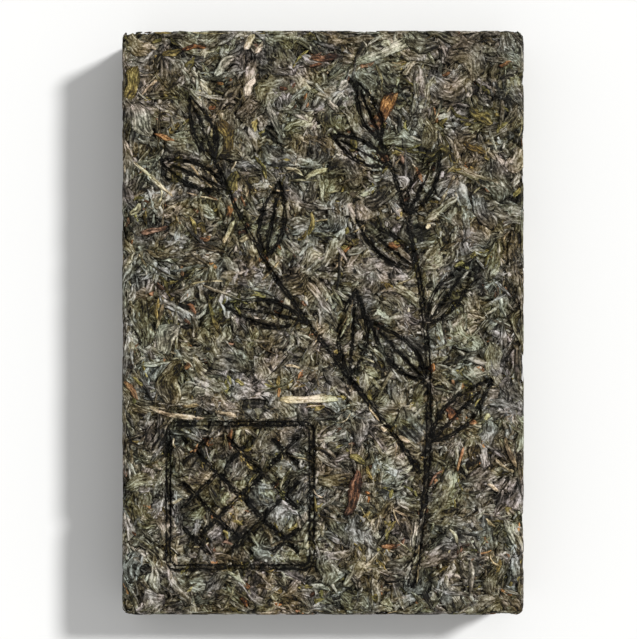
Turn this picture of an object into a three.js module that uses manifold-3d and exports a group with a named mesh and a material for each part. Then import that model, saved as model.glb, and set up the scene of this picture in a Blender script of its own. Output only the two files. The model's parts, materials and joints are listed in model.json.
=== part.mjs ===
// A pressed tea brick: whole twisted leaves and stems, steamed soft and pressed in a steel mould into one
// hard slab. Millimetres. It lies on its back with the decorated face up: +Z is up, +Y is the top of the
// decorated face and the origin is the middle of the underside.
import * as THREE from "three";
import { mergeVertices } from "three/addons/utils/BufferGeometryUtils.js";
import Module from "manifold-3d";

const wasm = await Module();
wasm.setup();

// The mould's cavity, which sets the brick's outer form.
const LENGTH = 240;
const WIDTH = 165;
const THICKNESS = 30;
const CORNER_RADIUS = 3.6;
const RIM_RADIUS = 1.8;

// How far the leaves stand out of the packed core, and how deep they are rooted in it.
const RELIEF = 0.9;
const ROOT = 0.7;

// The pressed decoration.
const PRESSED_DEPTH = 2;
const STROKE_WIDTH = 3.2;
const FINE_STROKE_WIDTH = 2.2;

// How finely round forms are faceted.
const ROUND_STEPS = 3;
const RIM_STEPS = 2;

// Mulberry32: the same leaves every time.
function seededRandom(seed) {
  let state = seed;
  return () => {
    state = (state + 0x6d2b79f5) | 0;
    let mixed = Math.imul(state ^ (state >>> 15), 1 | state);
    mixed = (mixed + Math.imul(mixed ^ (mixed >>> 7), 61 | mixed)) ^ mixed;
    return ((mixed ^ (mixed >>> 14)) >>> 0) / 2 ** 32;
  };
}

const between = (random, low, high) => low + (high - low) * random();

const MERGE_DISTANCE = 1e-4;

function solidOf(geometry) {
  const bare = geometry.clone();
  bare.deleteAttribute("normal");
  bare.deleteAttribute("uv");
  const merged = mergeVertices(bare, MERGE_DISTANCE);
  return new wasm.Manifold(
    new wasm.Mesh({
      numProp: 3,
      vertProperties: new Float32Array(merged.attributes.position.array),
      triVerts: new Uint32Array(merged.index.array),
    }),
  );
}

function geometryOf(solid) {
  const mesh = solid.getMesh();
  const geometry = new THREE.BufferGeometry();
  geometry.setAttribute("position", new THREE.BufferAttribute(mesh.vertProperties, 3));
  geometry.setIndex(new THREE.BufferAttribute(mesh.triVerts, 1));
  geometry.computeVertexNormals();
  return geometry;
}

// A rectangle with round corners, centred on the origin.
function roundedRectangle(width, length, radius) {
  const x = width / 2;
  const y = length / 2;
  const outline = new THREE.Shape();
  outline.moveTo(x, -y + radius);
  outline.lineTo(x, y - radius);
  outline.absarc(x - radius, y - radius, radius, 0, Math.PI / 2);
  outline.lineTo(-x + radius, y);
  outline.absarc(-x + radius, y - radius, radius, Math.PI / 2, Math.PI);
  outline.lineTo(-x, -y + radius);
  outline.absarc(-x + radius, -y + radius, radius, Math.PI, Math.PI * 1.5);
  outline.lineTo(x - radius, -y);
  outline.absarc(x - radius, -y + radius, radius, Math.PI * 1.5, Math.PI * 2);
  return outline;
}

// A slab with round corners and rims, shrunk by inset at its sides and its top. Its underside stays at
// height 0.
function slab(inset) {
  const radius = CORNER_RADIUS - inset;
  const rim = RIM_RADIUS - inset / 2;
  const outline = roundedRectangle(WIDTH - 2 * (inset + rim), LENGTH - 2 * (inset + rim), radius - rim / 2);
  const geometry = new THREE.ExtrudeGeometry(outline, {
    depth: THICKNESS - inset - 2 * rim,
    bevelThickness: rim,
    bevelSize: rim,
    bevelSegments: RIM_STEPS,
    curveSegments: ROUND_STEPS,
  });
  return solidOf(geometry.translate(0, 0, rim));
}

// One leaf or stem lying along X at height 0: a strip pointed at both ends and folded along its spine,
// with its lower edge rooted below. bend is how far its middle strays sideways.
const LEAF_STATIONS = [0.26, 0.7];
const SPINE_OFFSET = 0.15;

function strip({ length, width, height, bend }) {
  const places = [[-length / 2, 0, -ROOT]];
  for (const share of LEAF_STATIONS) {
    const fullness = Math.sin(Math.PI * share);
    const x = length * (share - 0.5);
    const y = bend * fullness;
    const half = (width / 2) * Math.sqrt(fullness);
    const spine = [x, y + half * SPINE_OFFSET, height * Math.sqrt(fullness)];
    places.push([x, y - half, -ROOT], [x, y + half, -ROOT], spine);
  }
  places.push([length / 2, 0, -ROOT]);
  const faces = [];
  const last = places.length - 1;
  for (let side = 0; side < 3; side++) {
    const next = (side + 1) % 3;
    faces.push([0, 1 + next, 1 + side]);
    for (let ring = 1; ring + 3 < last; ring += 3) {
      faces.push([ring + side, ring + next, ring + 3 + next], [ring + side, ring + 3 + next, ring + 3 + side]);
    }
    faces.push([last, last - 3 + side, last - 3 + next]);
  }
  const geometry = new THREE.BufferGeometry();
  geometry.setAttribute("position", new THREE.Float32BufferAttribute(places.flat(), 3));
  geometry.setIndex(faces.flat());
  return geometry;
}

// The brick's faces that carry leaves. Each has its middle on the core, two directions along it, its span
// and the number of leaves each way, and a seed of its own.
const coreX = WIDTH / 2 - RELIEF;
const coreY = LENGTH / 2 - RELIEF;
const coreTop = THICKNESS - RELIEF;
const midHeight = THICKNESS / 2;
const X = new THREE.Vector3(1, 0, 0);
const Y = new THREE.Vector3(0, 1, 0);
const Z = new THREE.Vector3(0, 0, 1);
const LEAF_FACES = [
  { middle: [0, 0, coreTop], along: X, across: Y, spans: [WIDTH, LENGTH], rows: [11, 17], seed: 11 },
  { middle: [coreX, 0, midHeight], along: Y, across: Z, spans: [LENGTH, THICKNESS], rows: [9, 2], seed: 23 },
  { middle: [-coreX, 0, midHeight], along: Z, across: Y, spans: [THICKNESS, LENGTH], rows: [2, 9], seed: 37 },
  { middle: [0, coreY, midHeight], along: Z, across: X, spans: [THICKNESS, WIDTH], rows: [2, 6], seed: 41 },
  { middle: [0, -coreY, midHeight], along: X, across: Z, spans: [WIDTH, THICKNESS], rows: [6, 2], seed: 59 },
];

// The leaves' sizes, and how freely each varies in height, bend, place in its cell and direction.
const LEAF_LENGTH = [19, 34];
const LEAF_WIDTH = [4.2, 8.4];
const STEM_LENGTH = [20, 38];
const STEM_WIDTH = [1.8, 2.8];
const STEM_SHARE = 0.16;
const SIDE_LEAF_SCALE = 0.75;
const HEIGHT_SHARE = [0.5, 1.15];
const BEND_SHARE = [-0.13, 0.13];
const CELL_PLACE = [0.15, 0.85];
const FLAT_FACE_TILT = [-Math.PI / 2, Math.PI / 2];
const SIDE_FACE_TILT = [-0.25, 0.25];

// Leaves lie in every direction on the broad face and mostly level in the thin sides, as pressing leaves
// them.
function leavesOn({ middle, along, across, spans, rows, seed }) {
  const random = seededRandom(seed);
  const outward = new THREE.Vector3().crossVectors(along, across);
  const [rowsAlong, rowsAcross] = rows;
  const broad = outward.z > 0.5;
  const scale = broad ? 1 : SIDE_LEAF_SCALE;
  const level = broad || along !== Z ? 0 : Math.PI / 2;
  const placed = [];
  for (let i = 0; i < rowsAlong; i++) {
    for (let j = 0; j < rowsAcross; j++) {
      const stem = random() < STEM_SHARE;
      const length = between(random, ...(stem ? STEM_LENGTH : LEAF_LENGTH)) * scale;
      const width = between(random, ...(stem ? STEM_WIDTH : LEAF_WIDTH)) * scale;
      const height = RELIEF * between(random, ...HEIGHT_SHARE);
      const bend = length * between(random, ...BEND_SHARE);
      const turn = level + between(random, ...(broad ? FLAT_FACE_TILT : SIDE_FACE_TILT));
      const place = new THREE.Vector3(...middle)
        .addScaledVector(along, spans[0] * ((i + between(random, ...CELL_PLACE)) / rowsAlong - 0.5))
        .addScaledVector(across, spans[1] * ((j + between(random, ...CELL_PLACE)) / rowsAcross - 0.5));
      const frame = new THREE.Matrix4()
        .makeBasis(along, across, outward)
        .setPosition(place)
        .multiply(new THREE.Matrix4().makeRotationZ(turn));
      const leaf = strip({ length, width, height, bend }).applyMatrix4(frame);
      placed.push({ size: length * width, solid: solidOf(leaf) });
    }
  }
  return placed;
}

// A stroke along a curve, as a flat outline: widest at its start, thinnest at its end.
const STEM_STEPS = 7;

function stroke(curve, startWidth, endWidth, steps) {
  const left = [];
  const right = [];
  for (let step = 0; step <= steps; step++) {
    const share = step / steps;
    const point = curve.getPoint(share);
    const tangent = curve.getTangent(share);
    const half = THREE.MathUtils.lerp(startWidth, endWidth, share) / 2;
    left.push(new THREE.Vector2(point.x - tangent.y * half, point.y + tangent.x * half));
    right.unshift(new THREE.Vector2(point.x + tangent.y * half, point.y - tangent.x * half));
  }
  return new THREE.Shape([...left, ...right]);
}

// A leaf blade's outline, counterclockwise: its base is at the origin and its tip on the X axis. It is
// widest a little before the middle of its length.
const BLADE_STEPS = 5;
const BLADE_SKEW = 0.85;

function bladeOutline(length, width) {
  const right = [];
  const left = [];
  for (let step = 0; step < BLADE_STEPS; step++) {
    const share = step / BLADE_STEPS;
    const half = (width / 2) * Math.sin(Math.PI * share ** BLADE_SKEW);
    right.push(new THREE.Vector2(length * share, -half));
    if (step > 0) {
      left.unshift(new THREE.Vector2(length * share, half));
    }
  }
  return [...right, new THREE.Vector2(length, 0), ...left];
}

// The mould's raised line, as the solid that it presses into the top.
function prism(shape) {
  const depth = PRESSED_DEPTH * 2;
  const geometry = new THREE.ExtrudeGeometry(shape, { depth, bevelEnabled: false, curveSegments: ROUND_STEPS });
  return solidOf(geometry.translate(0, 0, THICKNESS - PRESSED_DEPTH));
}

// A sprig's leaf as the mould draws it: a stroke round the blade and one along its midrib.
const BLADE_FULLNESS = 0.36;
const BLANK_START = 0.08;
const MIDRIB_END = 0.8;

function pressedBlade(base, angle, length) {
  const width = length * BLADE_FULLNESS;
  const outline = new THREE.Shape(bladeOutline(length, width));
  const blank = bladeOutline(length * (1 - 2 * BLANK_START), width - 2 * FINE_STROKE_WIDTH);
  blank.forEach((corner) => corner.setX(corner.x + length * BLANK_START));
  outline.holes.push(new THREE.Path(blank));
  const midrib = new THREE.LineCurve(new THREE.Vector2(0, 0), new THREE.Vector2(length * MIDRIB_END, 0));
  const place = new THREE.Matrix4().makeRotationZ(angle).setPosition(base.x, base.y, 0);
  const strokes = [outline, stroke(midrib, FINE_STROKE_WIDTH, FINE_STROKE_WIDTH / 2, 1)];
  return strokes.map((shape) => prism(shape).transform(place.elements));
}

// A tea sprig: a stem with leaves by turns on its left and right, shorter towards the bud at its tip.
const LEAF_LEAN = THREE.MathUtils.degToRad(42);
const LAST_LEAF = 0.93;

function pressedSprig({ stem, leaves, firstLeaf, longest, shortest, stemWidth }) {
  const pressed = [prism(stroke(stem, stemWidth, FINE_STROKE_WIDTH, STEM_STEPS))];
  for (let n = 0; n <= leaves; n++) {
    const tip = n === leaves;
    const share = tip ? 1 : THREE.MathUtils.lerp(firstLeaf, LAST_LEAF, n / (leaves - 1));
    const tangent = stem.getTangent(share);
    const lean = tip ? 0 : LEAF_LEAN * (n % 2 ? 1 : -1);
    const length = THREE.MathUtils.lerp(longest, shortest, n / leaves);
    pressed.push(...pressedBlade(stem.getPoint(share), Math.atan2(tangent.y, tangent.x) + lean, length));
  }
  return pressed;
}

const point = (x, y) => new THREE.Vector2(x, y);
const MAIN_STEM = new THREE.CubicBezierCurve(point(36, -108), point(50, -44), point(44, 26), point(24, 74));
const SIDE_STEM = new THREE.CubicBezierCurve(point(40, -62), point(14, -22), point(-22, 10), point(-44, 66));
const MAIN_STEM_WIDTH = STROKE_WIDTH * 1.3;
const SPRIGS = [
  { stem: MAIN_STEM, leaves: 6, firstLeaf: 0.3, longest: 38, shortest: 28, stemWidth: MAIN_STEM_WIDTH },
  { stem: SIDE_STEM, leaves: 4, firstLeaf: 0.34, longest: 38, shortest: 30, stemWidth: STROKE_WIDTH },
];

// The square panel below the sprig: a frame round a trellis of slanting bars.
const PANEL_MIDDLE = [-34, -71];
const PANEL_SIDE = 62;
const PANEL_RADIUS = 4;
const PANEL_MARGIN = 4;
const TRELLIS_PITCH = 13;

function pressedPanel() {
  const frame = roundedRectangle(PANEL_SIDE, PANEL_SIDE, PANEL_RADIUS);
  const inside = PANEL_SIDE - 2 * STROKE_WIDTH;
  const fieldSide = inside - 2 * PANEL_MARGIN;
  frame.holes.push(roundedRectangle(inside, inside, PANEL_RADIUS - STROKE_WIDTH / 2));
  const field = prism(roundedRectangle(fieldSide, fieldSide, FINE_STROKE_WIDTH));
  const pressed = [prism(frame)];
  const reach = Math.ceil(PANEL_SIDE / TRELLIS_PITCH / 2) * TRELLIS_PITCH;
  for (const angle of [Math.PI / 4, -Math.PI / 4]) {
    for (let offset = -reach; offset <= reach; offset += TRELLIS_PITCH) {
      const bar = prism(roundedRectangle(PANEL_SIDE * 2, FINE_STROKE_WIDTH, FINE_STROKE_WIDTH / 3));
      const shift = new THREE.Matrix4().makeTranslation(0, offset, 0);
      const place = new THREE.Matrix4().makeRotationZ(angle).multiply(shift);
      pressed.push(bar.transform(place.elements).intersect(field));
    }
  }
  return pressed.map((solid) => solid.translate([...PANEL_MIDDLE, 0]));
}

// Shallow hollows in the underside, where the leaves didn't meet the mould's floor. The middle stays whole.
const HOLLOW_DEPTH = 0.6;
const HOLLOW_BEND = 0.08;
const HOLLOW_ROWS = [4, 6];
const HOLLOW_PLACE = [0.2, 0.8];
const HOLLOW_SEED = 71;
const WHOLE_RADIUS = 22;

function undersideHollows() {
  const random = seededRandom(HOLLOW_SEED);
  const margin = LEAF_LENGTH[0];
  const hollows = [];
  for (let i = 0; i < HOLLOW_ROWS[0]; i++) {
    for (let j = 0; j < HOLLOW_ROWS[1]; j++) {
      const length = between(random, ...LEAF_LENGTH);
      const width = between(random, ...LEAF_WIDTH);
      const turn = between(random, 0, Math.PI);
      const x = (WIDTH - 2 * margin) * ((i + between(random, ...HOLLOW_PLACE)) / HOLLOW_ROWS[0] - 0.5);
      const y = (LENGTH - 2 * margin) * ((j + between(random, ...HOLLOW_PLACE)) / HOLLOW_ROWS[1] - 0.5);
      if (Math.hypot(x, y) >= WHOLE_RADIUS) {
        const place = new THREE.Matrix4().makeRotationZ(turn).setPosition(x, y, 0);
        const hollow = strip({ length, width, height: HOLLOW_DEPTH, bend: length * HOLLOW_BEND });
        hollows.push(solidOf(hollow.applyMatrix4(place)));
      }
    }
  }
  return hollows;
}

// The core with its leaves, squeezed to the mould's form, then marked by the mould's raised lines.
function teaBrick() {
  const leaves = LEAF_FACES.flatMap(leavesOn).sort((a, b) => b.size - a.size);
  let brick = slab(RELIEF);
  for (const { solid } of leaves) {
    brick = brick.add(solid);
  }
  brick = brick.intersect(slab(0));
  for (const pressed of [...pressedPanel(), ...SPRIGS.flatMap(pressedSprig), ...undersideHollows()]) {
    brick = brick.subtract(pressed);
  }
  return brick;
}

const teaLeaf = new THREE.MeshStandardMaterial({ color: 0x59554a, roughness: 0.7, metalness: 0 });
const brickMesh = new THREE.Mesh(geometryOf(teaBrick()), teaLeaf);
brickMesh.name = "tea_brick";

const part = new THREE.Group();
part.add(brickMesh);

export default part;
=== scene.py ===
"""A pressed tea brick lying on its back on a pale floor, seen from straight above its decorated face."""

import json
import math
import random

import bmesh
import bpy
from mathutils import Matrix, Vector

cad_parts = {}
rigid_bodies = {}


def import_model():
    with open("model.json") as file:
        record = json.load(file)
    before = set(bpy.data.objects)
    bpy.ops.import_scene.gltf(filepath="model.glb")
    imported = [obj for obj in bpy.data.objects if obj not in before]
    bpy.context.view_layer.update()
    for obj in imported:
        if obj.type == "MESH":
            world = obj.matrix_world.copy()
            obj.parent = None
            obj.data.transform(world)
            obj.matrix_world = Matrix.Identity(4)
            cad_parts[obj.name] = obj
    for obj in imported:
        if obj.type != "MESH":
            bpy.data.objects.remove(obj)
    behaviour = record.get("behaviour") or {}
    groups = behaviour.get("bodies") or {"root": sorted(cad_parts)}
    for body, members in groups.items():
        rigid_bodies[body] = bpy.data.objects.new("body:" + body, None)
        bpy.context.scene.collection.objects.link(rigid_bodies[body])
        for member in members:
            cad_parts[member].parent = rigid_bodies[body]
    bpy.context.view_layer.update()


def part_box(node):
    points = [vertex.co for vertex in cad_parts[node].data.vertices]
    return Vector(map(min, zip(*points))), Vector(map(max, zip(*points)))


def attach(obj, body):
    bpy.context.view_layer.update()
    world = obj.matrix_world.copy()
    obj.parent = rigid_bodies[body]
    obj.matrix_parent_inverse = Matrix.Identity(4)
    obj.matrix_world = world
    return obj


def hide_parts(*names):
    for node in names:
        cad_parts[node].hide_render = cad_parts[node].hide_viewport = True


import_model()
low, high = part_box("tea_brick")


# The camera, straight above the brick, which fills the height of the picture. The brick's middle lies a
# little to the right of the picture's middle and below it.
photo_width, photo_height = 638, 639
brick_left, brick_right = 121.5, 524.5
brick_top, brick_bottom = 30.0, 615.5

metres_per_pixel = (high.y - low.y) / (brick_bottom - brick_top)
lens, sensor = 100, 36
camera = bpy.data.objects.new("camera", bpy.data.cameras.new("camera"))
camera.data.lens = lens
camera.data.sensor_width = sensor
camera.location = (
    (low.x + high.x) / 2 - ((brick_left + brick_right) / 2 - photo_width / 2) * metres_per_pixel,
    (low.y + high.y) / 2 + ((brick_top + brick_bottom) / 2 - photo_height / 2) * metres_per_pixel,
    high.z + photo_height * metres_per_pixel * lens / sensor,
)
bpy.context.scene.collection.objects.link(camera)
bpy.context.scene.camera = camera


# The mould: a steel box with round corners and rims. Its cavity is the brick's outer form, and every leaf
# ends up inside it. It is only a shape to press against, so it is removed at the end.
corner_radius, corner_facets = 0.0036, 6
rim_radius, rim_facets = 0.0018, 5
level = 1e-6


def round_over(cavity, edges, radius, facets):
    bmesh.ops.bevel(cavity, geom=edges, offset=radius, segments=facets, profile=0.5, affect="EDGES")


def mould_cavity():
    cavity = bmesh.new()
    bmesh.ops.create_cube(cavity, size=1)
    bmesh.ops.scale(cavity, vec=high - low, verts=cavity.verts)
    bmesh.ops.translate(cavity, vec=(low + high) / 2, verts=cavity.verts)
    upright = [e for e in cavity.edges if abs(e.verts[0].co.z - e.verts[1].co.z) > rim_radius]
    round_over(cavity, upright, corner_radius, corner_facets)
    rims = [e for e in cavity.edges if abs(e.verts[0].co.z - e.verts[1].co.z) < level]
    round_over(cavity, rims, rim_radius, rim_facets)
    mesh = bpy.data.meshes.new("mould")
    cavity.to_mesh(mesh)
    cavity.free()
    return mesh


def new_object(name, mesh):
    made = bpy.data.objects.new(name, mesh)
    bpy.context.scene.collection.objects.link(made)
    return made


mould = new_object("mould", mould_cavity())


# The raised lines of the mould's lid, which press the decoration into the face: a tea sprig with two
# shoots, and a square panel with a trellis of slanting bars. Here they are upright bars, joined to one
# solid and removed at the end.
stroke_width = 0.0032
main_stroke_width = stroke_width * 1.3
fine_stroke_width = 0.0022
shoulder = 0.0009
line_wander = 0.0007
lean = math.radians(42)
main_first_leaf, side_first_leaf, last_leaf = 0.3, 0.34, 0.93
blade_fullness = 0.36
blade_base = 0.85
blade_outline_trim = 2
midrib_start, midrib_tip = 0.75, 0.4
blank_start = 0.08
midrib_end = 0.8
long_blade, short_blade, side_short_blade = 0.038, 0.028, 0.030
main_stem = [(0.036, -0.108), (0.050, -0.044), (0.044, 0.026), (0.024, 0.074)]
side_stem = [(0.040, -0.062), (0.014, -0.022), (-0.022, 0.010), (-0.044, 0.066)]
panel_middle = Vector((-0.034, -0.071))
panel_side = 0.062
panel_radius = 0.004
panel_margin = 0.004
trellis_pitch = 0.013
outline_steps = 16
line_depth = 0.006
line_height = 0.004
most_trim = 0.3
corner_steps = 4

bars = bpy.data.collections.new("bars")


def ribbon(right, left, closed=False):
    """Adds the upright bar whose plan is the strip between two rows of points, less a shoulder on each
    side. The first row is on the right-hand side of the way that the points go."""
    pairs = list(zip(right, left))
    trims = [min(shoulder, (b - a).length * most_trim) for a, b in pairs]
    right = [a + (b - a).normalized() * trim for (a, b), trim in zip(pairs, trims)]
    left = [b + (a - b).normalized() * trim for (a, b), trim in zip(pairs, trims)]
    corners, faces, count = [], [], len(left)
    for a, b in zip(right, left):
        for point in (a, b):
            corners.append((point.x, point.y, high.z - line_depth))
            corners.append((point.x, point.y, high.z + line_height))
    for n in range(count if closed else count - 1):
        here, there = 4 * n, 4 * ((n + 1) % count)
        for a, b in ((0, 2), (2, 3), (3, 1), (1, 0)):
            faces.append((here + a, here + b, there + b, there + a))
    if not closed:
        last = 4 * (count - 1)
        faces.append((0, 1, 3, 2))
        faces.append((last, last + 2, last + 3, last + 1))
    bar = bpy.data.meshes.new("bar")
    bar.from_pydata(corners, [], faces)
    bars.objects.link(bpy.data.objects.new("bar", bar))


def on_curve(stem, share):
    """A point of a stem's curve, and the direction of growth there."""
    a, b, c, d = (Vector(p) for p in stem)
    rest = 1 - share
    place = a * rest**3 + b * 3 * rest**2 * share + c * 3 * rest * share**2 + d * share**3
    growth = (b - a) * rest**2 + (c - b) * 2 * rest * share + (d - c) * share**2
    return place, growth.normalized()


def stroke(stem, start_width, end_width):
    left, right = [], []
    for n in range(outline_steps + 1):
        share = n / outline_steps
        place, growth = on_curve(stem, share)
        side = Vector((-growth.y, growth.x)) * (start_width + (end_width - start_width) * share) / 2
        left.append(place + side)
        right.append(place - side)
    ribbon(right, left)


def blade_outline(base, growth, start, length, width):
    """A leaf blade's outline, from its base along one side to its tip and back along the other."""
    side = Vector((-growth.y, growth.x))
    points = []
    for n in range(2 * outline_steps):
        share = n / outline_steps if n <= outline_steps else 2 - n / outline_steps
        half = math.sin(math.pi * share**blade_base) * width / 2 * (-1 if n < outline_steps else 1)
        points.append(base + growth * (start + length * share) + side * half)
    return points


def pressed_blade(base, growth, length):
    width = length * blade_fullness
    blank = length * (1 - 2 * blank_start), width - blade_outline_trim * fine_stroke_width
    ribbon(
        blade_outline(base, growth, 0, length, width),
        blade_outline(base, growth, length * blank_start, *blank),
        closed=True,
    )
    end = base + growth * length * midrib_end
    along = [base, base.lerp(end, 1 / 3), base.lerp(end, 2 / 3), end]
    stroke(along, fine_stroke_width * midrib_start, fine_stroke_width * midrib_tip)


def pressed_sprig(stem, leaves, first_leaf, longest, shortest, stem_width):
    stroke(stem, stem_width, fine_stroke_width)
    for n in range(leaves + 1):
        share = 1 if n == leaves else first_leaf + (last_leaf - first_leaf) * n / (leaves - 1)
        base, growth = on_curve(stem, share)
        turn = 0 if n == leaves else lean * (1 if n % 2 else -1)
        turned = Vector((
            growth.x * math.cos(turn) - growth.y * math.sin(turn),
            growth.x * math.sin(turn) + growth.y * math.cos(turn),
        ))
        pressed_blade(base, turned, longest + (shortest - longest) * n / leaves)


def round_square(side, radius):
    points = []
    for corner in range(4):
        for n in range(corner_steps + 1):
            angle = math.pi / 2 * (corner + n / corner_steps)
            square = Vector((1 if corner in (0, 3) else -1, 1 if corner < 2 else -1)) * (side / 2 - radius)
            points.append(panel_middle + square + Vector((math.cos(angle), math.sin(angle))) * radius)
    return points


def pressed_panel():
    inside = panel_side - 2 * stroke_width
    ribbon(
        round_square(panel_side, panel_radius),
        round_square(inside, panel_radius - stroke_width / 2),
        closed=True,
    )
    diagonal = (inside / 2 - panel_margin) * math.sqrt(2)
    most_bars = math.ceil(diagonal / trellis_pitch)
    for along in (Vector((1, 1)).normalized(), Vector((1, -1)).normalized()):
        across = Vector((-along.y, along.x))
        for n in range(-most_bars, most_bars + 1):
            reach = diagonal - abs(n) * trellis_pitch
            if reach > fine_stroke_width:
                middle = panel_middle + across * n * trellis_pitch
                ends = middle - along * reach, middle + along * reach
                side = across * fine_stroke_width / 2
                ribbon([ends[0] - side, ends[1] - side], [ends[0] + side, ends[1] + side])


pressed_sprig(main_stem, 6, main_first_leaf, long_blade, short_blade, main_stroke_width)
pressed_sprig(side_stem, 4, side_first_leaf, long_blade, side_short_blade, stroke_width)
pressed_panel()
raised_lines = new_object("raised_lines", bpy.data.meshes.new("raised_lines"))


# The press: it squeezes whatever lies in the mould, so that nothing is left outside the cavity and what
# stood out is flattened just under its wall, and then the lid's raised lines sink into the face.
squeeze_softness = 0.00045
pressed_depth = 0.0020
least_press, most_press = 0.15, 0.9
press_patches = 45.0
drift_scale = 160.0
noise_low, noise_high = 0.35, 0.65


def new_tree(name, sizes):
    """An empty geometry node tree with one named input for each size."""
    tree = bpy.data.node_groups.new(name, "GeometryNodeTree")
    tree.interface.new_socket("Geometry", in_out="INPUT", socket_type="NodeSocketGeometry")
    for label, kind in sizes.items():
        tree.interface.new_socket(label, in_out="INPUT", socket_type="NodeSocket" + kind)
    tree.interface.new_socket("Geometry", in_out="OUTPUT", socket_type="NodeSocketGeometry")
    return tree, tree.nodes.new("NodeGroupInput").outputs, tree.nodes.new("NodeGroupOutput").inputs


def add(tree, kind, inputs=(), output=0, **settings):
    """Adds a node, fills or links its inputs by number or name, and returns one of its outputs."""
    node = tree.nodes.new(kind)
    for name, value in settings.items():
        setattr(node, name, value)
    for socket, value in dict(inputs).items():
        if isinstance(value, bpy.types.NodeSocket):
            tree.links.new(value, node.inputs[socket])
        else:
            node.inputs[socket].default_value = value
    return node.outputs[output]


def sums(tree, operation, *values):
    return add(tree, "ShaderNodeMath", enumerate(values), operation=operation)


def vectors(tree, operation, *values, output=0):
    return add(tree, "ShaderNodeVectorMath", enumerate(values), output, operation=operation)


def scaled(tree, vector, scale):
    return add(tree, "ShaderNodeVectorMath", {0: vector, 3: scale}, operation="SCALE")


def axis(tree, vector, letter):
    return add(tree, "ShaderNodeSeparateXYZ", {0: vector}, letter)


def kept(tree, name, kind="FLOAT"):
    """Reads what was stored with the points under this name."""
    return add(tree, "GeometryNodeInputNamedAttribute", {0: name}, data_type=kind)


def noise(tree, inputs, output=0, dimensions="3D"):
    return add(tree, "ShaderNodeTexNoise", inputs, output, noise_dimensions=dimensions)


def join_tree():
    """Joins the bars into one solid, and makes its sides wander a little."""
    tree, given, made = new_tree("join_bars", {"Bars": "Collection", "Wander": "Float"})
    bars = add(tree, "GeometryNodeCollectionInfo", {0: given["Bars"], 1: True})
    joined = add(tree, "GeometryNodeMeshBoolean", {1: bars}, operation="UNION", solver="MANIFOLD")
    place = add(tree, "GeometryNodeInputPosition")
    flat = vectors(tree, "MULTIPLY", place, (1, 1, 0))
    drift = noise(tree, {"Vector": flat, "Scale": drift_scale, "Detail": 2.0}, 1)
    drift = vectors(tree, "MULTIPLY", vectors(tree, "SUBTRACT", drift, (0.5, 0.5, 0.5)), (2, 2, 0))
    moved = add(tree, "GeometryNodeSetPosition", {0: joined, 3: scaled(tree, drift, given["Wander"])})
    tree.links.new(moved, made["Geometry"])
    return tree


def stamp_tree():
    """Parts what lies under the raised lines from what lies beside them."""
    tree, given, made = new_tree("stamp", {"Raised lines": "Object"})
    lines = add(tree, "GeometryNodeObjectInfo", {0: given["Raised lines"]}, "Geometry")
    both = tree.nodes.new("GeometryNodeJoinGeometry")
    for operation, under in (("DIFFERENCE", 0.0), ("INTERSECT", 1.0)):
        part = tree.nodes.new("GeometryNodeMeshBoolean")
        part.operation = operation
        part.solver = "MANIFOLD"
        tree.links.new(given["Geometry"], part.inputs[0 if operation == "DIFFERENCE" else 1])
        tree.links.new(lines, part.inputs[1])
        marked = {0: part.outputs[0], 2: "under_line", 3: under}
        marked = add(tree, "GeometryNodeStoreNamedAttribute", marked, data_type="FLOAT", domain="POINT")
        tree.links.new(marked, both.inputs[0])
    tree.links.new(both.outputs[0], made["Geometry"])
    return tree


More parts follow.
